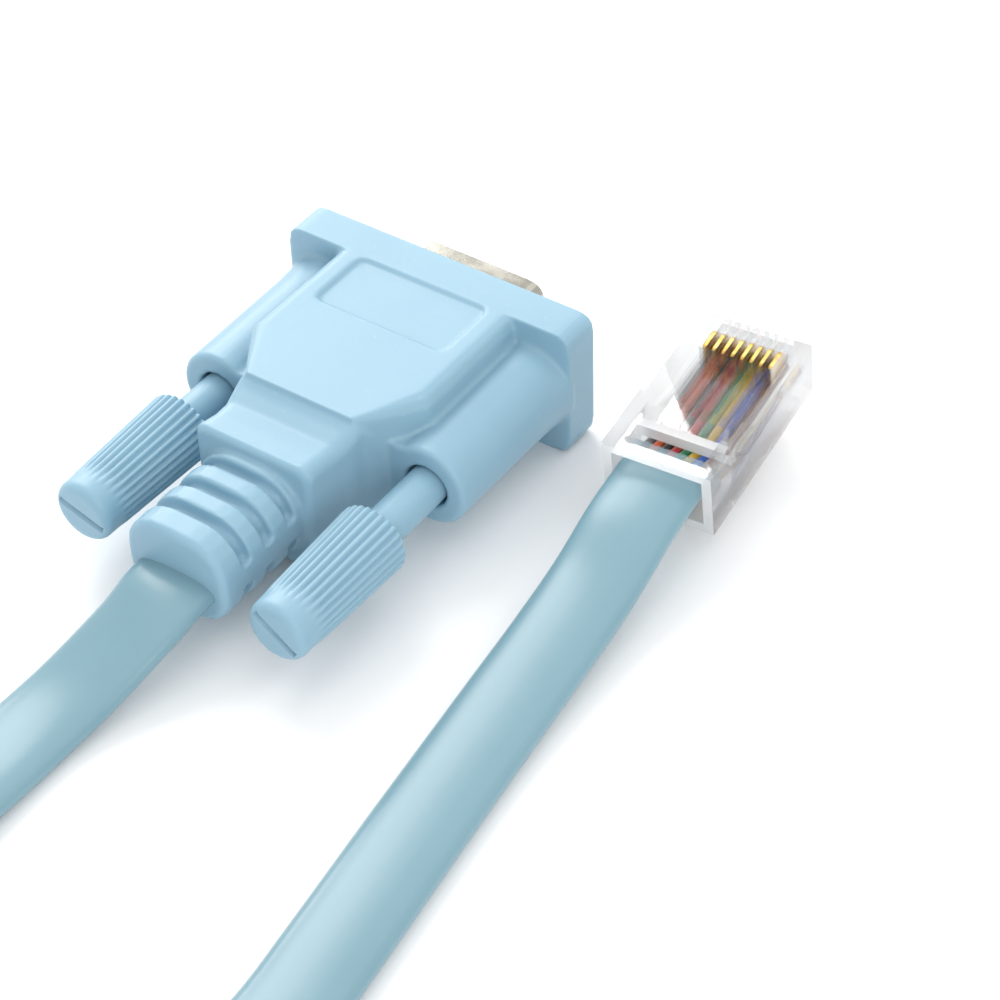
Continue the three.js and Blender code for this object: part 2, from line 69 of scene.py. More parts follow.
def at(x, y, z):
    """A point in the frame from millimetres that count from the flange's rear face."""
    return Vector((x * MM, y * MM + flange_rear, z * MM))


print("flange rear at y =", round(flange_rear, 5))

# %% [markdown]
# A camera is placed as a photographer would: from a fitted place, looking along a fitted
# direction. The fit used the two screws, whose spacing is a standard. The lens is long, so the
# hood shows little perspective. The small shift is the photograph's own crop.

# %% Camera
IMAGE_SIDE = 1000
FOCAL_PIXELS = 2800
CAMERA_PLACE = (131.83, -172.49, 186.17)
AZIMUTH, ELEVATION, ROLL = (math.radians(a) for a in (35.59, 42.22, 1.85))
OPTICAL_ROW = 471

level_part = math.cos(ELEVATION)
forward = Vector((-math.sin(AZIMUTH) * level_part, math.cos(AZIMUTH) * level_part, -math.sin(ELEVATION)))
level_right = Vector((math.cos(AZIMUTH), math.sin(AZIMUTH), 0))
level_down = forward.cross(level_right)
right = math.cos(ROLL) * level_right + math.sin(ROLL) * level_down
down = -math.sin(ROLL) * level_right + math.cos(ROLL) * level_down

camera_data = bpy.data.cameras.new("camera")
camera_data.sensor_width = 36
camera_data.lens = 36 * FOCAL_PIXELS / IMAGE_SIDE
camera_data.shift_y = (OPTICAL_ROW - IMAGE_SIDE / 2) / IMAGE_SIDE
camera_data.clip_start = 0.01
camera = bpy.data.objects.new("camera", camera_data)
turn = Matrix((right, -down, -forward)).transposed().to_4x4()
camera.matrix_world = Matrix.Translation(at(*CAMERA_PLACE)) @ turn
bpy.context.scene.collection.objects.link(camera)
bpy.context.scene.camera = camera
print("camera at", [round(v, 4) for v in camera.location])

# %% [markdown]
# Every mesh that is made here goes through one helper. It takes points and faces, shades them
# smooth and puts the piece at the origin, because the export expects each object there.

# %% Mesh helpers


def add_object(name, mesh):
    piece = bpy.data.objects.new(name, mesh)
    bpy.context.scene.collection.objects.link(piece)
    return piece


def add_mesh(name, points, faces, smooth=True):
    mesh = bpy.data.meshes.new(name)
    mesh.from_pydata([tuple(p) for p in points], [], faces)
    mesh.validate()
    mesh.polygons.foreach_set("use_smooth", [smooth] * len(mesh.polygons))
    mesh.update()
    return add_object(name, mesh)


def tube_faces(rings, around):
    """Quads between rings of points, with a flat cap on each end."""
    faces = []
    for r in range(rings - 1):
        for k in range(around):
            a, b = r * around + k, r * around + (k + 1) % around
            faces.append((a, b, b + around, a + around))
    faces.append(tuple(range(around))[::-1])
    faces.append(tuple(range((rings - 1) * around, rings * around)))
    return faces


def face_out(piece):
    """Turns every face of a closed mesh outwards."""
    work = bmesh.new()
    work.from_mesh(piece.data)
    bmesh.ops.remove_doubles(work, verts=work.verts, dist=1e-7)
    bmesh.ops.recalc_face_normals(work, faces=work.faces)
    work.to_mesh(piece.data)
    work.free()


def apply_modifiers(piece):
    """Turns the evaluated object into its plain mesh and takes the modifiers away."""
    graph = bpy.context.evaluated_depsgraph_get()
    mesh = bpy.data.meshes.new_from_object(piece.evaluated_get(graph))
    piece.modifiers.clear()
    piece.data = mesh
    mesh.polygons.foreach_set("use_smooth", [True] * len(mesh.polygons))
    return piece


# %% [markdown]
# Materials and Geometry Nodes are both graphs of nodes. Two small classes keep them readable:
# a Value wraps a socket, so that a sum in Python adds the Math nodes for it, and a Graph adds
# any other node from its type, its settings and what goes into its sockets.

# %% Node helpers


class Value:
    """A socket that Python's own operators work on."""

    def __init__(self, graph, socket):
        self.graph = graph
        self.socket = socket

    def maths(self, operation, *others):
        inputs = dict(enumerate((self, *others)))
        return self.graph.put("ShaderNodeMath", {"operation": operation}, inputs)

    def __add__(self, other):
        return self.maths("ADD", other)

    def __radd__(self, other):
        return self.maths("ADD", other)

    def __sub__(self, other):
        return self.maths("SUBTRACT", other)

    def __rsub__(self, other):
        return self.graph.put("ShaderNodeMath", {"operation": "SUBTRACT"}, {0: other, 1: self})

    def __mul__(self, other):
        return self.maths("MULTIPLY", other)

    def __rmul__(self, other):
        return self.maths("MULTIPLY", other)

    def __truediv__(self, other):
        return self.maths("DIVIDE", other)

    def __pow__(self, other):
        return self.maths("POWER", other)


class Graph:
    """A node tree that nodes are put into."""

    def __init__(self, tree):
        self.tree = tree

    def put(self, kind, settings=None, inputs=None, output=0):
        node = self.tree.nodes.new(kind)
        for name, setting in (settings or {}).items():
            setattr(node, name, setting)
        for key, given in (inputs or {}).items():
            self.feed(node.inputs[key], given)
        return Value(self, node.outputs[output])

    def feed(self, socket, given):
        if isinstance(given, Value):
            self.tree.links.new(given.socket, socket)
        else:
            socket.default_value = given

    def node(self, value):
        return value.socket.node


# %% [markdown]
# A finish starts as one Principled shader. What is the same all over the surface is set on the
# shader's own sockets. What changes over it, such as the colour, the roughness and the bump, is
# made from noise in the piece's own coordinates, so it looks the same from every side.

# %% Finish helpers


def linear(*channels):
    """A colour as the eye sees it on a screen, 0 to 255, in the shader's linear scale."""
    parts = [c / 255 for c in channels]
    return (*[c / 12.92 if c <= 0.04045 else ((c + 0.055) / 1.055) ** 2.4 for c in parts], 1.0)


def new_finish(name, **constants):
    material = bpy.data.materials.new(name)
    material.use_nodes = True
    graph = Graph(material.node_tree)
    shader = material.node_tree.nodes["Principled BSDF"]
    for key, given in constants.items():
        shader.inputs[key.replace("_", " ")].default_value = given
    return material, graph, shader


def object_noise(graph, per_metre, detail=2.0, roughness=0.5, stretch=(1, 1, 1)):
    place = graph.put("ShaderNodeTexCoord", output="Object")
    scaled = graph.put("ShaderNodeMapping", {"vector_type": "POINT"}, {"Vector": place, "Scale": stretch})
    wanted = {"Vector": scaled, "Scale": per_metre, "Detail": detail, "Roughness": roughness}
    return graph.put("ShaderNodeTexNoise", {}, wanted)


def colour_between(graph, factor, low, high):
    return graph.put("ShaderNodeMix", {"data_type": "RGBA"}, {0: factor, 6: low, 7: high}, output=2)


def colour_shader(graph, shader, factor, low, high):
    """The shader's base colour, mixed between two screen colours."""
    mixed = colour_between(graph, factor, linear(*low), linear(*high))
    graph.feed(shader.inputs["Base Color"], mixed)


def roughen(graph, shader, noise, low, high, smoothest, roughest):
    """The shader's roughness, from a noise that is cut off at low and high."""
    graph.feed(shader.inputs["Roughness"], stepped(noise, low, high, smoothest, roughest))


def add_bump(graph, shader, height, distance, strength=1.0):
    bump = graph.put("ShaderNodeBump", {}, {"Height": height, "Distance": distance, "Strength": strength})
    graph.feed(shader.inputs["Normal"], bump)


def stepped(value, low, high, to_low=0.0, to_high=1.0):
    """The value mapped from one range to another, smoothly and held at the ends."""
    wanted = {"Value": value, "From Min": low, "From Max": high, "To Min": to_low, "To Max": to_high}
    return value.graph.put("ShaderNodeMapRange", {"interpolation_type": "SMOOTHSTEP"}, wanted)


def paint(piece, material):
    piece.data.materials.clear()
    piece.data.materials.append(material)


# %% [markdown]
# The hood and the screw heads are moulded in a pale blue plastic with a satin skin. Its colour
# clouds a little, its gloss varies, and its skin has the fine orange peel of a moulding tool.

# %% Pale blue plastic
blue_plastic, graph, shader = new_finish("pale blue plastic", IOR=1.5, Subsurface_Weight=0.12)
shader.inputs["Subsurface Radius"].default_value = (0.0016, 0.0022, 0.003)
shader.inputs["Subsurface Scale"].default_value = 1.0
clouds = object_noise(graph, 55, 3.0)
peel = object_noise(graph, 2600, 3.0, 0.6)
specks = object_noise(graph, 1500, 1.0)
tint = colour_between(graph, stepped(clouds, 0.35, 0.65), linear(134, 171, 190), linear(141, 177, 195))
speck = stepped(specks, 0.72, 0.78, 0.0, 0.08)
graph.feed(shader.inputs["Base Color"], colour_between(graph, speck, tint, linear(205, 228, 238)))
roughen(graph, shader, clouds, 0.3, 0.7, 0.36, 0.46)
add_bump(graph, shader, peel, 0.00002, 0.55)

# %% [markdown]
# The cable's jacket is a softer plastic, squeezed out hot round the eight wires. It is smoother
# and a little greener than the hood, and faint lines run along it.

# %% Cable jacket
jacket_finish, graph, shader = new_finish("cable jacket", IOR=1.5, Subsurface_Weight=0.1)
shader.inputs["Subsurface Radius"].default_value = (0.0012, 0.002, 0.0024)
shader.inputs["Subsurface Scale"].default_value = 1.0
clouds = object_noise(graph, 70, 2.0)
across_cable = graph.put("ShaderNodeAttribute", {"attribute_name": "across"}, {}, output="Fac")
lines = (across_cable * (8 * math.pi)).maths("COSINE")
grain = object_noise(graph, 1800, 2.0)
colour_shader(graph, shader, stepped(clouds, 0.35, 0.65), (119, 154, 166), (122, 157, 169))
roughen(graph, shader, clouds, 0.2, 0.8, 0.27, 0.3)
add_bump(graph, shader, lines * 0.12 + grain * 0.3, 0.00003, 0.6)

# %% [markdown]
# A cord is worked out before it is drawn: where it leaves, how far it runs, how it lies, and
# where it ends. The length that the picture doesn't show is wound on edge into a long hank. Its
# turns lie one thickness apart, from the inside out, and grow by half a pitch round each end.

# %% The cable's route
CABLE_WIDTH = 9.0
CABLE_THICK = 2.8
HANK_X, HANK_Y, HANK_STRAIGHT = 5.0, -159.5, 39.0
HANK_INNER, HANK_PITCH, HANK_LOOPS = 10.0, 3.2, 5
HANK_MIDDLE = 5.1
OVER_HANK = 11.3
FLOOR_LEVEL = CABLE_THICK / 2

from_hood = [
    (0, -38.6, 6.4), (0, -40.2, 6.4), (0, -42, 6.32), (-0.2, -44.5, 5.4), (-0.9, -48, 3.9),
    (-1.8, -53, 2.2), (-2.4, -58, FLOOR_LEVEL), (-2.5, -65, FLOOR_LEVEL), (-2.4, -72, 2.2),
    (-1.8, -79, 5.6), (-1, -85, 9), (0, -91, OVER_HANK), (1.2, -99, OVER_HANK + 0.6),
    (2.3, -107, OVER_HANK + 0.6), (3.3, -116, OVER_HANK + 0.2), (4, -125, 9.8), (4.2, -134, 7.3),
    (3.8, -143, 5.6), (3, -152, HANK_MIDDLE + 0.1), (2, -160, HANK_MIDDLE),
    (0.6, -168, HANK_MIDDLE), (-1.4, -177, HANK_MIDDLE), (-3.6, -187, HANK_MIDDLE),
]
to_plug = [
    (32.9, -118, HANK_MIDDLE), (34.3, -110, HANK_MIDDLE), (34.8, -103, HANK_MIDDLE - 0.05),
    (35.3, -96, HANK_MIDDLE - 0.25), (35.7, -89, 4.1), (35.9, -82, 2.7),
    (35.8, -76, FLOOR_LEVEL + 0.2), (35.6, -70, FLOOR_LEVEL), (35, -64, FLOOR_LEVEL),
    (34.1, -56, FLOOR_LEVEL), (33.2, -48, FLOOR_LEVEL), (32.4, -40, 1.5), (31.8, -32, 2),
    (31.4, -24, 2.9), (31, -17, 4),
]

PLUG_PLACE = (30.38, -4.7, 2.3)
PLUG_YAW, PLUG_PITCH, PLUG_ROLL = (math.radians(a) for a in (4, 6, -1.4))
JACKET_LEVEL, JACKET_DEPTH = 4.5, 2.7
plug_turn = Matrix.Rotation(PLUG_YAW, 3, "Z") @ Matrix.Rotation(PLUG_PITCH, 3, "X")
plug_turn = plug_turn @ Matrix.Rotation(PLUG_ROLL, 3, "Y")


def in_plug(x, y, z):
    """Millimetres from the middle of the plug's rear bottom edge, as a point of the route."""
    return tuple(plug_turn @ Vector((x, y, z)) + Vector(PLUG_PLACE))


def hank_points():
    """Half turns round the two ends of the hank, with straight sides between them."""
    radius, end, points = HANK_INNER, -1, []
    for _ in range(2 * HANK_LOOPS + 1):
        for k in range(9):
            angle = math.pi * (k / 8 + (end < 0))
            grown = radius + HANK_PITCH / 2 * k / 8
            y = HANK_Y + end * HANK_STRAIGHT + grown * math.sin(angle)
            points.append((HANK_X + grown * math.cos(angle), y, HANK_MIDDLE))
        radius, end = radius + HANK_PITCH / 2, -end
        x = HANK_X + (radius if end > 0 else -radius)
        points += [(x, HANK_Y - end * HANK_STRAIGHT * along, HANK_MIDDLE) for along in (0.6, 0, -0.6)]
    return points


into_plug = [
    in_plug(0, -5.5, JACKET_LEVEL - 0.15), in_plug(0, -1, JACKET_LEVEL),
    in_plug(0, JACKET_DEPTH, JACKET_LEVEL),
]
route = [Vector(p) for p in (*from_hood, *hank_points(), *to_plug, *into_plug)]
print("route points:", len(route))

# %% [markdown]
# The curve through the points has to be smooth and must not overshoot between near points. A
# centripetal Catmull-Rom curve does that, and it is the one that the solid model uses too. The
# section then needs rings an even distance apart, so the curve is walked by its length.

# %% A smooth line through the points


def catmull_rom(points, per_span=12):
    dots = [points[0] * 2 - points[1], *points, points[-1] * 2 - points[-2]]
    line = []
    for a, b, c, d in zip(dots, dots[1:], dots[2:], dots[3:]):
        t0 = 0.0
        t1 = t0 + (b - a).length ** 0.5
        t2 = t1 + (c - b).length ** 0.5
        t3 = t2 + (d - c).length ** 0.5
        for k in range(per_span):
            t = t1 + (t2 - t1) * k / per_span
            ab = a * ((t1 - t) / (t1 - t0)) + b * ((t - t0) / (t1 - t0))
            bc = b * ((t2 - t) / (t2 - t1)) + c * ((t - t1) / (t2 - t1))
            cd = c * ((t3 - t) / (t3 - t2)) + d * ((t - t2) / (t3 - t2))
            abc = ab * ((t2 - t) / (t2 - t0)) + bc * ((t - t0) / (t2 - t0))
            bcd = bc * ((t3 - t) / (t3 - t1)) + cd * ((t - t1) / (t3 - t1))
            line.append(abc * ((t2 - t) / (t2 - t1)) + bcd * ((t - t1) / (t2 - t1)))
    line.append(points[-1])
    return np.array([tuple(p) for p in line])


def walk(line, step):
    """The same line in even steps, and how far along it each new point is."""
    run = np.r_[0, np.cumsum(np.linalg.norm(np.diff(line, axis=0), axis=1))]
    far = np.linspace(0, run[-1], int(round(run[-1] / step)) + 1)
    return np.c_[[np.interp(far, run, line[:, axis]) for axis in range(3)]].T, far


RING_STEP = 1.25
centre_line, far = walk(catmull_rom(route), RING_STEP)
cable_length = far[-1]
print("cable length", round(cable_length), "mm in", len(centre_line), "rings")

# %% [markdown]
# A flat cable lies flat on a table but is wound on edge in a neat hank, because it bends easily
# only across its thin side. So its section makes a quarter turn on the way in and on the way
# out. The width's direction is level at first, and then stands up.

# %% Flat section along the line


def ease(value, start, end):
    t = np.clip((value - start) / (end - start), 0, 1)
    return t * t * (3 - 2 * t)


STAND_FROM, STAND_BY = 85.0, 121.0
LIE_FROM, LIE_BY = 112.0, 78.0
left_to_go = cable_length - far
on_edge = ease(far, STAND_FROM, STAND_BY) * ease(left_to_go, LIE_BY, LIE_FROM)
along = np.gradient(centre_line, axis=0)
along /= np.linalg.norm(along, axis=1, keepdims=True)
level = np.cross((0, 0, 1), along)
level /= np.linalg.norm(level, axis=1, keepdims=True)
standing = np.cross(along, level)
turn_angle = on_edge[:, None] * math.pi / 2
across = level * np.cos(turn_angle) + standing * np.sin(turn_angle)
thick = np.cross(along, across)

SECTION_POINTS = 28


def cable_section():
    """The jacket's outline: flat faces that are a little full, and round edges."""
    outline = []
    half = CABLE_WIDTH / 2
    for k in range(SECTION_POINTS):
        angle = 2 * math.pi * k / SECTION_POINTS
        c, s = math.cos(angle), math.sin(angle)
        x = half * math.copysign(abs(c) ** 0.85, c)
        z = CABLE_THICK / 2 * math.copysign(abs(s) ** 0.85, s)
        outline.append((x, z))
    return outline


outline = cable_section()
points = [centre + across[i] * x + thick[i] * z for i, centre in enumerate(centre_line) for x, z in outline]
cable = add_mesh("cable", [at(*p) for p in points], tube_faces(len(centre_line), SECTION_POINTS))
face_out(cable)
share = cable.data.attributes.new("across", "FLOAT", "POINT")
values = np.tile([x / CABLE_WIDTH for x, _ in outline], len(centre_line)).astype(np.float32)
share.data.foreach_set("value", values)
paint(cable, jacket_finish)
print("cable faces:", len(cable.data.polygons))

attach(cable, "connector_and_cable")
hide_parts("cable_from_hood", "cable_coil", "cable_to_plug")

# %% [markdown]
# The table is a plain pale sheet and the light is a softbox over it, with a weaker one on the
# other side. The photograph has a white ground and soft shadows below and right of the pieces,
# so the stronger light stands on the left.

# %% Floor and lights
FLOOR_HALF = 3.0
corners = [(x * FLOOR_HALF, y * FLOOR_HALF, 0) for x, y in ((-1, -1), (1, -1), (1, 1), (-1, 1))]
floor = add_mesh("floor", corners, [(0, 1, 2, 3)], smooth=False)
floor_finish, graph, shader = new_finish("white ground", Roughness=0.9)
shader.inputs["Base Color"].default_value = (0.92, 0.925, 0.93, 1)
shader.inputs["Specular IOR Level"].default_value = 0.1
paint(floor, floor_finish)


def softbox(name, place, size, power, colour=(1, 1, 1)):
    light = bpy.data.lights.new(name, "AREA")
    light.shape = "RECTANGLE"
    light.size, light.size_y = size
    light.energy = power
    light.color = colour
    lamp = bpy.data.objects.new(name, light)
    lamp.location = place
    lamp.rotation_euler = (Vector((0.01, 0, 0)) - Vector(place)).to_track_quat("-Z", "Y").to_euler()
    bpy.context.scene.collection.objects.link(lamp)
    return lamp


softbox("key light", (-0.42, 0.28, 0.55), (0.35, 0.35), 2.4)
softbox("top light", (0.1, 0.1, 0.8), (0.9, 0.9), 1.5)
softbox("front fill", (0.45, -0.4, 0.3), (0.5, 0.4), 1.3)
softbox("low strip", (-0.53, 0.45, 0.25), (0.5, 0.2), 1.9)
world = bpy.data.worlds.new("studio")
world.use_nodes = True
world.node_tree.nodes["Background"].inputs["Color"].default_value = (1, 1, 1, 1)
world.node_tree.nodes["Background"].inputs["Strength"].default_value = 0.86
bpy.context.scene.world = world
bpy.context.scene.view_settings.view_transform = "Standard"

# %% [markdown]
# The hood is one moulding. Its solid has the right forms but knife edges, and a moulding has
# none: the tool's edges and the plastic's shrinkage round every one by a few tenths. So a copy
# of the solid is remeshed finely and relaxed, which rounds all edges alike.

# %% Hood
HOOD_VOXEL = 0.25 * MM


def cad_copy(name, node):
    """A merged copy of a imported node's mesh, as a piece that can be worked on."""
    piece = add_object(name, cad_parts[node].data.copy())
    work = bmesh.new()
    work.from_mesh(piece.data)
    bmesh.ops.remove_doubles(work, verts=work.verts, dist=1e-6)
    work.to_mesh(piece.data)
    work.free()
    return piece


def soften(piece, voxel, rounds):
    remesh = piece.modifiers.new("remesh", "REMESH")
    remesh.mode = "VOXEL"
    remesh.voxel_size = voxel
    relax = piece.modifiers.new("relax", "SMOOTH")
    relax.factor = 0.5
    relax.iterations = rounds
    return apply_modifiers(piece)


hood = soften(cad_copy("moulded_hood", "hood"), HOOD_VOXEL, 1)
paint(hood, blue_plastic)
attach(hood, "connector_and_cable")
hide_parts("hood")
print("hood triangles:", sum(len(p.vertices) - 2 for p in hood.data.polygons))

# %% [markdown]
# A thumbscrew's head is turned round its screw, with straight flutes for the fingers. A turned
# body comes from a short profile. The flutes follow a rule, so Geometry Nodes press them in:
# each point moves towards the axis by a wave of its angle, and the wave fades along the head.
# The same nodes cut a thread, where the wave also runs on along the axis.

# %% Geometry Nodes: press a wave into a turned body


def start_tree(name, sizes):
    """A tree with a mesh in, a mesh out and the named sizes, and the values that it is given."""
    tree = bpy.data.node_groups.new(name, "GeometryNodeTree")
    for label, kind in (("Geometry", "Geometry"), *sizes):
        tree.interface.new_socket(label, in_out="INPUT", socket_type=f"NodeSocket{kind}")
    tree.interface.new_socket("Geometry", in_out="OUTPUT", socket_type="NodeSocketGeometry")
    graph = Graph(tree)
    given = graph.node(graph.put("NodeGroupInput"))
    return tree, graph, {s.name: Value(graph, s) for s in given.outputs if s.name}


def end_tree(tree, graph, shape, finish):
    """The tree's last nodes: real geometry, its finish and the way out."""
    real = graph.put("GeometryNodeRealizeInstances", {}, {0: shape})
    dressed = graph.put("GeometryNodeSetMaterial", {}, {"Geometry": real, "Material": finish})
    end = tree.nodes.new("NodeGroupOutput")
    graph.feed(end.inputs["Geometry"], dressed)
    return tree


WAVE_SIZES = (
    ("Count", "Float"), ("Depth", "Float"), ("Pitch", "Float"), ("Sharpness", "Float"),
    ("Axis", "Vector"), ("Full from", "Float"), ("Gone at", "Float"), ("Core", "Float"),
)


def wave_tree(name, finish):
    tree, graph, wanted = start_tree(name, WAVE_SIZES)
    place = graph.put("GeometryNodeInputPosition")
    from_axis = graph.put("ShaderNodeVectorMath", {"operation": "SUBTRACT"}, {0: place, 1: wanted["Axis"]})
    parts = graph.node(graph.put("ShaderNodeSeparateXYZ", {}, {0: from_axis}))
    x, y, z = (Value(graph, s) for s in parts.outputs)
    angle = z.maths("ARCTAN2", x)
    phase = angle * wanted["Count"] + y / wanted["Pitch"] * (2 * math.pi)
    wave = (phase.maths("COSINE") * 0.5 + 0.5) ** wanted["Sharpness"]
    fade = stepped(y, 0.0, 1.0)
    graph.feed(graph.node(fade).inputs["From Min"], wanted["Gone at"])
    graph.feed(graph.node(fade).inputs["From Max"], wanted["Full from"])
    inward = graph.put("ShaderNodeVectorMath", {"operation": "MULTIPLY"}, {0: from_axis, 1: (1, 0, 1)})
    unit = graph.put("ShaderNodeVectorMath", {"operation": "NORMALIZE"}, {0: inward})
    radius = graph.put("ShaderNodeVectorMath", {"operation": "LENGTH"}, {0: inward}, output="Value")
    outside = stepped(radius, 0.0, 1.0)
    graph.feed(graph.node(outside).inputs["From Min"], wanted["Core"])
    graph.feed(graph.node(outside).inputs["From Max"], wanted["Core"] * 1.3)
    reach = wave * fade * outside * wanted["Depth"] * -1
    move = graph.put("ShaderNodeVectorMath", {"operation": "SCALE"}, {0: unit, "Scale": reach})
    moved = graph.put("GeometryNodeSetPosition", {}, {"Geometry": wanted["Geometry"], "Offset": move})
    return end_tree(tree, graph, moved, finish)


def run_tree(piece, tree, **sizes):
    """Runs a tree on a piece, with its inputs set by their identifiers, and keeps the plain mesh."""
    modifier = piece.modifiers.new(tree.name, "NODES")
    modifier.node_group = tree
    names = {s.name: s.identifier for s in tree.interface.items_tree if s.in_out == "INPUT"}
    for label, given in sizes.items():
        modifier[names[label.replace("_", " ")]] = given
    return apply_modifiers(piece)


flutes = wave_tree("flutes", blue_plastic)
print("wave tree nodes:", len(flutes.nodes))

# %% [markdown]
# A turned body starts as a profile: a list of radii and places along the axis. Swinging it round
# the axis gives rings of points, and faces join the rings. Even steps along the profile give the
# wave enough points to press in, and a rounded edge is a quarter circle in the profile.

# %% Turned bodies


def turned_body(name, profile, x, z, around):
    """A profile of (radius, y) in metres turned about a line along Y, closed on the axis."""
    points, faces = [], []
    for radius, y in profile:
        for k in range(around):
            angle = 2 * math.pi * k / around
            points.append((x + radius * math.cos(angle), y, z + radius * math.sin(angle)))
    piece = add_mesh(name, points, tube_faces(len(profile), around))
    face_out(piece)
    return piece


def smooth_profile(knots, step):
    """A line through (radius, y) knots with points an even step apart."""
    line, _ = walk(np.array([(r, y, 0.0) for r, y in knots]), step)
    return [(float(r), float(y)) for r, y, _ in line]


def arc_knots(radius, y, size, start, end, count=7):
    """Knots on a quarter circle that rounds an edge, from angle start to end in degrees."""
    angles = [math.radians(start + (end - start) * k / (count - 1)) for k in range(count)]
    return [(radius - size + size * math.cos(a), y + size * math.sin(a)) for a in angles]


# %% [markdown]
# The two heads stand off their barrels by different amounts, as the photograph shows them. Each
# has a driver slot in its round end. A slot is a small block taken away, which is what a
# boolean does.

# %% Thumbscrew heads
HEAD_LENGTH, HEAD_FRONT, HEAD_REAR, HEAD_ROUND = 15.25 * MM, 3.75 * MM, 3.26 * MM, 0.95 * MM
FLUTES, FLUTE_DEPTH = 28, 0.34 * MM
SLEEVE_RADIUS = 2.05 * MM
SCREW_HOLE, SCREW_HOLD = 1.72 * MM, 2.9 * MM
DRIVER_SLOT = Vector((5.3, 1.5, 0.85)) * MM
SLOT_TURN = {"left": 18, "right": 36}


def thumbscrew_head(side):
    low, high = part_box(f"thumbscrew_{side}")
    x, z = (low.x + high.x) / 2, hood_middle
    rear, front = low.y, low.y + HEAD_LENGTH
    sleeve_front = high.y
    knots = [
        (0.0, rear), (HEAD_REAR - HEAD_ROUND, rear),
        *arc_knots(HEAD_REAR, rear + HEAD_ROUND, HEAD_ROUND, -90, 0),
        (HEAD_REAR, rear + 1.9 * MM), (HEAD_REAR + 0.12 * MM, rear + 3.5 * MM),
        (HEAD_FRONT, front - 0.6 * MM),
        *arc_knots(HEAD_FRONT, front - 0.4 * MM, 0.4 * MM, 0, 90, 4),
        (SLEEVE_RADIUS + 0.1 * MM, front), (SLEEVE_RADIUS, front + 0.1 * MM),
        (SLEEVE_RADIUS, sleeve_front - 0.2 * MM), (SLEEVE_RADIUS - 0.15 * MM, sleeve_front),
        (SCREW_HOLE, sleeve_front), (SCREW_HOLE, sleeve_front - SCREW_HOLD),
        (0.0, sleeve_front - SCREW_HOLD),
    ]
    head = turned_body(f"head_{side}", smooth_profile(knots, 0.22 * MM), x, z, FLUTES * 10)
    head = run_tree(
        head, flutes, Count=float(FLUTES), Depth=FLUTE_DEPTH, Pitch=1e6, Sharpness=1.6,
        Axis=(x, 0.0, z), Full_from=rear + 4.5 * MM, Gone_at=rear + 1.6 * MM, Core=SLEEVE_RADIUS * 1.1,
    )
    cut_slot(head, x, rear, z, SLOT_TURN[side])
    paint(head, blue_plastic)
    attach(head, f"{side}_thumbscrew")
    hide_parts(f"thumbscrew_{side}")
    return head


def cut_slot(head, x, rear, z, degrees):
    block = bmesh.new()
    bmesh.ops.create_cube(block, size=1.0)
    bmesh.ops.scale(block, vec=DRIVER_SLOT, verts=block.verts)
    turn = Matrix.Rotation(math.radians(degrees), 4, "Y")
    bmesh.ops.transform(block, matrix=Matrix.Translation((x, rear, z)) @ turn, verts=block.verts)
    mesh = bpy.data.meshes.new("slot block")
    block.to_mesh(mesh)
    block.free()
    tool = add_object("slot block", mesh)
    cut = head.modifiers.new("slot", "BOOLEAN")
    cut.operation, cut.object, cut.solver = "DIFFERENCE", tool, "EXACT"
    apply_modifiers(head)
    bpy.data.objects.remove(tool)


heads = [thumbscrew_head(side) for side in ("left", "right")]
print("head triangles:", [sum(len(p.vertices) - 2 for p in h.data.polygons) for h in heads])

# %% [markdown]
# The screws are plated steel with a fine thread. The same wave makes it: one wave round the
# rod, and one for each pitch along it.

# %% Steel screws
steel, graph, shader = new_finish("plated steel", Metallic=1.0)
brushed = object_noise(graph, 900, 3.0, 0.6, (1, 6, 1))
colour_shader(graph, shader, brushed, (176, 178, 182), (214, 215, 217))
roughen(graph, shader, brushed, 0.3, 0.7, 0.22, 0.38)
add_bump(graph, shader, brushed, 0.00001, 0.4)

SCREW_RADIUS, THREAD_PITCH, THREAD_DEPTH = 1.42 * MM, 0.635 * MM, 0.34 * MM
thread = wave_tree("thread", steel)


def steel_screw(side):
    low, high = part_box(f"screw_{side}")
    x, z = (low.x + high.x) / 2, hood_middle
    knots = [
        (0.0, low.y), (SCREW_RADIUS, low.y), (SCREW_RADIUS, high.y - 0.5 * MM),
        (SCREW_RADIUS - 0.5 * MM, high.y), (0.0, high.y),
    ]
    screw = turned_body(f"threaded_screw_{side}", smooth_profile(knots, 0.08 * MM), x, z, 48)
    run_tree(
        screw, thread, Count=1.0, Depth=THREAD_DEPTH, Pitch=THREAD_PITCH, Sharpness=1.0,
        Axis=(x, 0.0, z), Full_from=high.y - 5 * MM, Gone_at=high.y - 12 * MM, Core=0.01 * MM,
    )
    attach(screw, f"{side}_screw")
    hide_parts(f"screw_{side}")
    return screw


screws = [steel_screw(side) for side in ("left", "right")]
print("screw faces:", [len(screw.data.polygons) for screw in screws])

# %% [markdown]
# The D-shaped shell is pressed from thin sheet, so its edges are rounded and its skirt curves
# out of its plate. Dissolving the solid's flat triangles leaves clean faces for a bevel.

# %% Edge rounding on flat-sided solids
BROAD_FACE = 1 * MM * MM


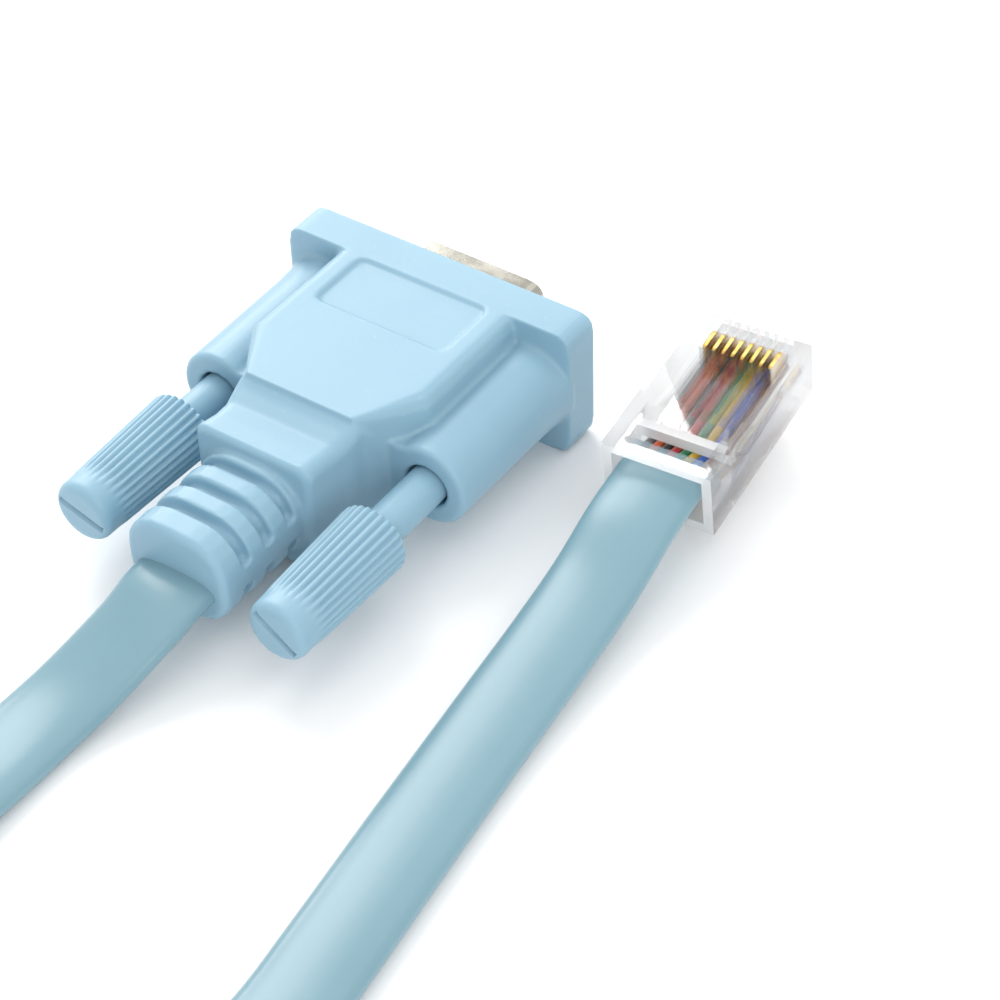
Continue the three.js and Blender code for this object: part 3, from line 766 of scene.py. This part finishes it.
def round_edges(name, node, width, faces, edges, segments=2, angle=32):
    """A copy of a solid with rounded edges, with one finish for its faces and one for its edges."""
    piece = cad_copy(name, node)
    paint(piece, faces)
    piece.data.materials.append(edges)
    work = bmesh.new()
    work.from_mesh(piece.data)
    bmesh.ops.dissolve_limit(work, angle_limit=math.radians(1), verts=work.verts, edges=work.edges)
    work.to_mesh(piece.data)
    work.free()
    bevel = piece.modifiers.new("edges", "BEVEL")
    bevel.width, bevel.segments, bevel.limit_method = width, segments, "ANGLE"
    bevel.angle_limit = math.radians(angle)
    bevel.material = 1
    apply_modifiers(piece)
    for polygon in piece.data.polygons:
        polygon.use_smooth = polygon.area < BROAD_FACE
    return piece


plating, graph, shader = new_finish("tin plating", Metallic=1.0)
dull = object_noise(graph, 350, 4.0, 0.6)
colour_shader(graph, shader, dull, (176, 173, 163), (194, 191, 181))
roughen(graph, shader, dull, 0.3, 0.7, 0.14, 0.24)
add_bump(graph, shader, dull, 0.00001, 0.3)

# The shell's rounded edges get a darker, browner plating colour than its faces.
plating_edge, graph, shader = new_finish("darker edge plating", Metallic=1.0)
edge_mottle = object_noise(graph, 500, 3.0)
colour_shader(graph, shader, edge_mottle, (112, 104, 88), (150, 142, 124))
roughen(graph, shader, edge_mottle, 0.3, 0.7, 0.25, 0.4)

shell = round_edges("pressed_shell", "dsub_shell", 0.12 * MM, plating, plating_edge)
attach(shell, "connector_and_cable")
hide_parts("dsub_shell")

# %% [markdown]
# Inside the shell a black block holds the nine sockets. The solids have the right shape, so
# they stay and only get their finishes.

# %% Insulator and sockets
black_plastic, graph, shader = new_finish("black insulator")
dust = object_noise(graph, 900, 3.0)
colour_shader(graph, shader, dust, (24, 25, 27), (40, 41, 44))
roughen(graph, shader, dust, 0.3, 0.7, 0.42, 0.58)
add_bump(graph, shader, dust, 0.00002, 0.4)

gold, graph, shader = new_finish("gold plating", Metallic=1.0)
plated = object_noise(graph, 1200, 2.0)
colour_shader(graph, shader, plated, (226, 178, 88), (246, 212, 132))
roughen(graph, shader, plated, 0.3, 0.7, 0.12, 0.24)
add_bump(graph, shader, plated, 0.00001, 0.3)

paint(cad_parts["dsub_insulator"], black_plastic)
for k in range(9):
    paint(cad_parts[f"socket_{k + 1}"], gold)

# %% [markdown]
# The strap round one side of the hank is a plain black band.

# %% Strap
strap, graph, shader = new_finish("strap")
weave = object_noise(graph, 1500, 2.0, 0.5, (1, 1, 6))
colour_shader(graph, shader, weave, (28, 30, 33), (52, 54, 58))
roughen(graph, shader, weave, 0.3, 0.7, 0.5, 0.75)
add_bump(graph, shader, weave, 0.00004, 0.6)
paint(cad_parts["coil_tie"], strap)

# %% [markdown]
# The plug is moulded in clear polycarbonate, which bends light strongly, so its inner faces show
# as light and dark lines. Small roundings on every edge give the edge lines their width, and they
# carry a whiter, duller, less clear finish: a painted highlight along every edge.

# %% Clear housing and latch
clear, graph, shader = new_finish("clear polycarbonate", IOR=1.5, Transmission_Weight=1.0, Alpha=0.42)
haze = object_noise(graph, 220, 3.0)
colour_shader(graph, shader, haze, (186, 189, 192), (198, 201, 203))
roughen(graph, shader, haze, 0.35, 0.65, 0.0, 0.03)
add_bump(graph, shader, haze, 0.00001, 0.15)

# Painted highlight: the plug's rounded edges get this whiter, more opaque and rougher finish, so they read
# as light lines.
clear_edge_highlight, graph, shader = new_finish(
    "clear plastic with painted edge highlight", IOR=1.5, Transmission_Weight=0.3, Alpha=0.72,
)
highlight_noise = object_noise(graph, 400, 3.0)
colour_shader(graph, shader, highlight_noise, (222, 224, 226), (230, 231, 232))
roughen(graph, shader, highlight_noise, 0.2, 0.8, 0.3, 0.34)

# %% [markdown]
# The rear face and the bar that was pressed down on the jacket when the plug was crimped get a
# duller, whiter, less clear finish.

# %% White faces of the plug
frosted, graph, shader = new_finish("frosted plastic", IOR=1.5, Transmission_Weight=0.3, Alpha=0.8)
rubbed = object_noise(graph, 400, 3.0)
colour_shader(graph, shader, rubbed, (234, 235, 236), (240, 241, 241))
roughen(graph, shader, rubbed, 0.2, 0.8, 0.34, 0.4)

BAR_FROM, BAR_TO, BAR_BOTTOM, BAR_HALF = 4.6, 5.8, 4.9, 4.4


def whiten(piece):
    """Gives the rear face and the crimp bar the frosted finish, but no side wall of the window."""
    piece.data.materials.append(frosted)
    back = plug_turn.transposed()
    for polygon in piece.data.polygons:
        x, y, z = back @ ((polygon.center - at(0, 0, 0)) / MM - Vector(PLUG_PLACE))
        sideways = abs((back @ polygon.normal).x) > 0.5
        on_bar = BAR_FROM < y < BAR_TO and z > BAR_BOTTOM and abs(x) < BAR_HALF and not sideways
        if y < 0.06 or on_bar:
            polygon.material_index = 2


housing = round_edges("clear_housing", "rj45_housing", 0.14 * MM, clear, clear_edge_highlight)
whiten(housing)
latch = round_edges("clear_latch", "rj45_latch", 0.16 * MM, clear, clear_edge_highlight)
plug_bodies = (housing, "rj45_housing", "connector_and_cable"), (latch, "rj45_latch", "latch")
for piece, node, body in plug_bodies:
    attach(piece, body)
    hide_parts(node)

# %% [markdown]
# Eight thin blades stand side by side in the plug's slots. They repeat at an even pitch, so
# Geometry Nodes place them: a blade is drawn once, and a line of points carries a copy each.

# %% Geometry Nodes: a row of copies


def row_tree(name, finish):
    tree, graph, wanted = start_tree(name, (("Count", "Int"), ("Step", "Vector")))
    spread = {"Count": wanted["Count"], "Offset": wanted["Step"]}
    row = graph.put("GeometryNodeMeshLine", {"mode": "OFFSET"}, spread)
    carried = {"Points": row, "Instance": wanted["Geometry"]}
    copies = graph.put("GeometryNodeInstanceOnPoints", {}, carried)
    return end_tree(tree, graph, copies, finish)


WAYS, WAY_PITCH = 8, 1.02
BLADE_THICK = 0.42
BLADE_OUTLINE = [
    (16.85, 3.9), (17.5, 3.9), (17.7, 4.3), (18.5, 4.3), (18.7, 3.9), (19.5, 3.9),
    (19.58, 5.7), (19.35, 6.1), (19.0, 6.25), (17.1, 6.25), (16.85, 6.1),
]


def plug_point(x, y, z):
    return at(*in_plug(x, y, z))


def blade_row():
    first = -(WAYS - 1) / 2 * WAY_PITCH
    count = len(BLADE_OUTLINE)
    points = [
        plug_point(first + side * BLADE_THICK / 2, y, z)
        for side in (-1, 1) for y, z in BLADE_OUTLINE
    ]
    blades = add_mesh("contact_blades", points, tube_faces(2, count), smooth=False)
    face_out(blades)
    step = plug_point(WAY_PITCH, 0, 0) - plug_point(0, 0, 0)
    run_tree(blades, row_tree("row", gold), Count=WAYS, Step=tuple(step))
    blades.data.polygons.foreach_set("use_smooth", [False] * len(blades.data.polygons))
    return blades


blades = blade_row()
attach(blades, "connector_and_cable")
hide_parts(*[f"contact_{k + 1}" for k in range(WAYS)])
print("blade faces:", len(blades.data.polygons))

# %% [markdown]
# The eight wires fan out of the jacket and run side by side under the blades. Each is a short
# tube in its own colour, so each is a piece of its own.

# %% Wires
WIRE_RADIUS, WIRE_LEVEL, WIRE_SIDES = 0.47, 3.4, 14
JACKET_SQUEEZE = 0.93
WIRE_COLOURS = {
    "grey": (120, 122, 126), "orange": (226, 92, 38), "black": (34, 30, 30), "red": (206, 44, 52),
    "green": (38, 140, 92), "yellow": (226, 186, 40), "blue": (52, 104, 206), "brown": (120, 66, 44),
}


def wire_finish(colour, shade):
    finish, graph, shader = new_finish(f"{colour} insulation", IOR=1.5)
    mottle = object_noise(graph, 700, 2.0)
    darker = linear(*[0.88 * c for c in shade])
    graph.feed(shader.inputs["Base Color"], colour_between(graph, mottle, darker, linear(*shade)))
    roughen(graph, shader, mottle, 0.3, 0.7, 0.28, 0.4)
    return finish


def wire(k, colour, shade):
    x = (k - (WAYS - 1) / 2) * WAY_PITCH
    close = x * JACKET_SQUEEZE
    in_jacket = [(close, 2.2, 4.7), (close, 3.6, 4.6), (close, 5.0, 4.1)]
    in_slot = [(x, y, WIRE_LEVEL) for y in (7.0, 9.0, 20.2)]
    line = [*in_jacket, *in_slot]
    curve = catmull_rom([Vector(p) for p in line], 8)
    angles = [2 * math.pi * j / WIRE_SIDES for j in range(WIRE_SIDES)]
    points = [
        plug_point(px + WIRE_RADIUS * math.cos(a), py, pz + WIRE_RADIUS * math.sin(a))
        for px, py, pz in curve for a in angles
    ]
    piece = add_mesh(f"insulated_wire_{k + 1}", points, tube_faces(len(curve), WIRE_SIDES))
    face_out(piece)
    paint(piece, wire_finish(colour, shade))
    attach(piece, "connector_and_cable")
    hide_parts(f"wire_{k + 1}")
    return piece


wires = [wire(k, colour, shade) for k, (colour, shade) in enumerate(WIRE_COLOURS.items())]

# %% [markdown]
# The plug and the strap are on the cable, so their pieces go with the cord. The last two lines
# work out the cord's first point and its centre line in the frame, and keep neither.

at(0, -39.9, 6.4)
[at(*p) for p in centre_line]
